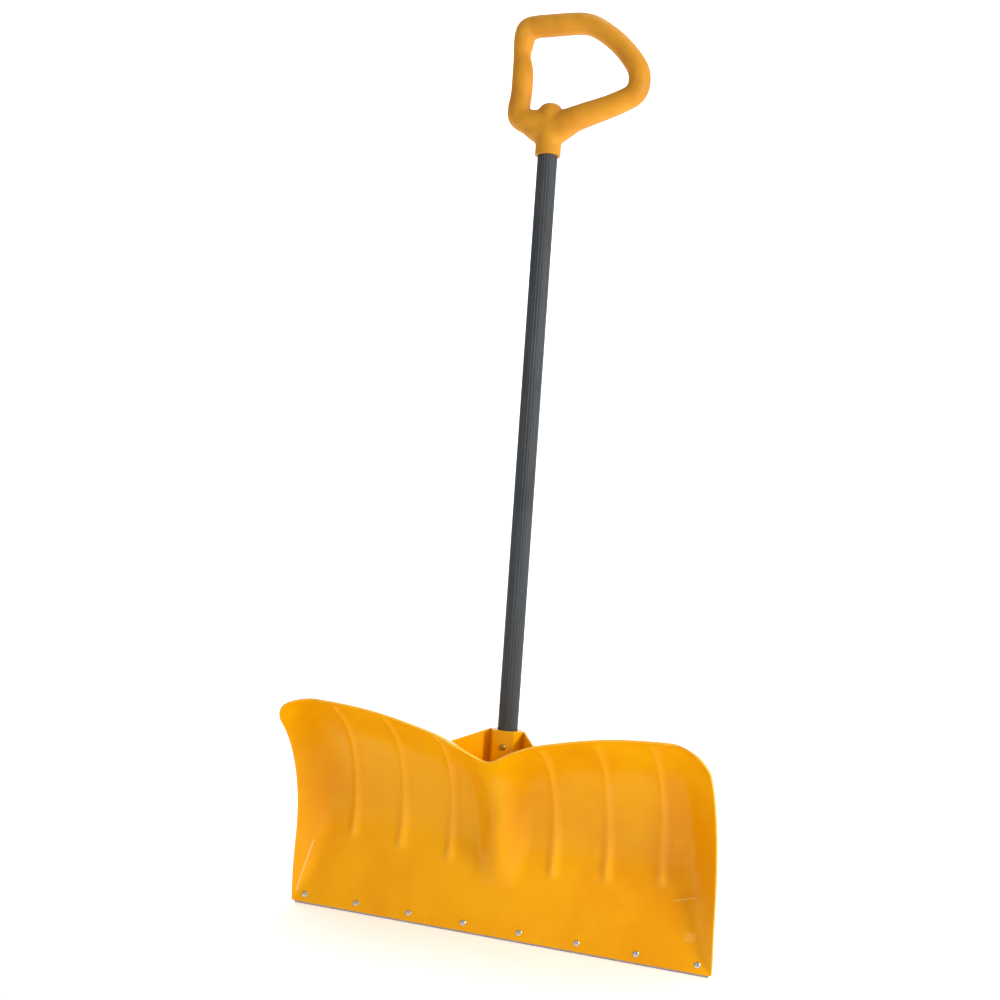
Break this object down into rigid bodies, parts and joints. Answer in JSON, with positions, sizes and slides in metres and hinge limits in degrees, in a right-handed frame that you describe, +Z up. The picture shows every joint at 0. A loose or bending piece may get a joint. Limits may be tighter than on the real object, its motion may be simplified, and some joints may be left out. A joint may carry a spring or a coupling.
{
  "type": "snow shovel",
  "caption": "Push-type snow shovel: wide curled moulded blade with a riveted metal wear strip, a long fluted shaft and a closed loop grip.",
  "frame": {"origin": "middle of the wear strip's lower edge", "axes": "+Z up along the shaft towards the grip, +X along the blade's width towards the wide side of the grip, the blade's hollow faces -Y"},
  "size_m": [0.6116, 0.1412, 1.2838],
  "materials": {
    "blade_plastic": "glossy moulded orange-yellow plastic, lightly scuffed",
    "strip_steel": "galvanised steel strip, dulled and scratched along its lower edge",
    "rivet_steel": "bright round rivet heads",
    "shaft_resin": "dark grey fluted resin with a soft sheen",
    "core_steel": "drawn steel tube",
    "grip_plastic": "satin moulded orange-yellow plastic with a fine grain",
    "screw_steel": "zinc-plated screw"
  },
  "bodies": {
    "root": {"blade": "blade_plastic", "wear_strip": "strip_steel", "strip_rivets": "rivet_steel", "shaft_sleeve": "shaft_resin", "shaft_core": "core_steel", "grip": "grip_plastic", "socket_screw": "screw_steel", "grip_screw": "screw_steel"}
  },
  "joints": []
}
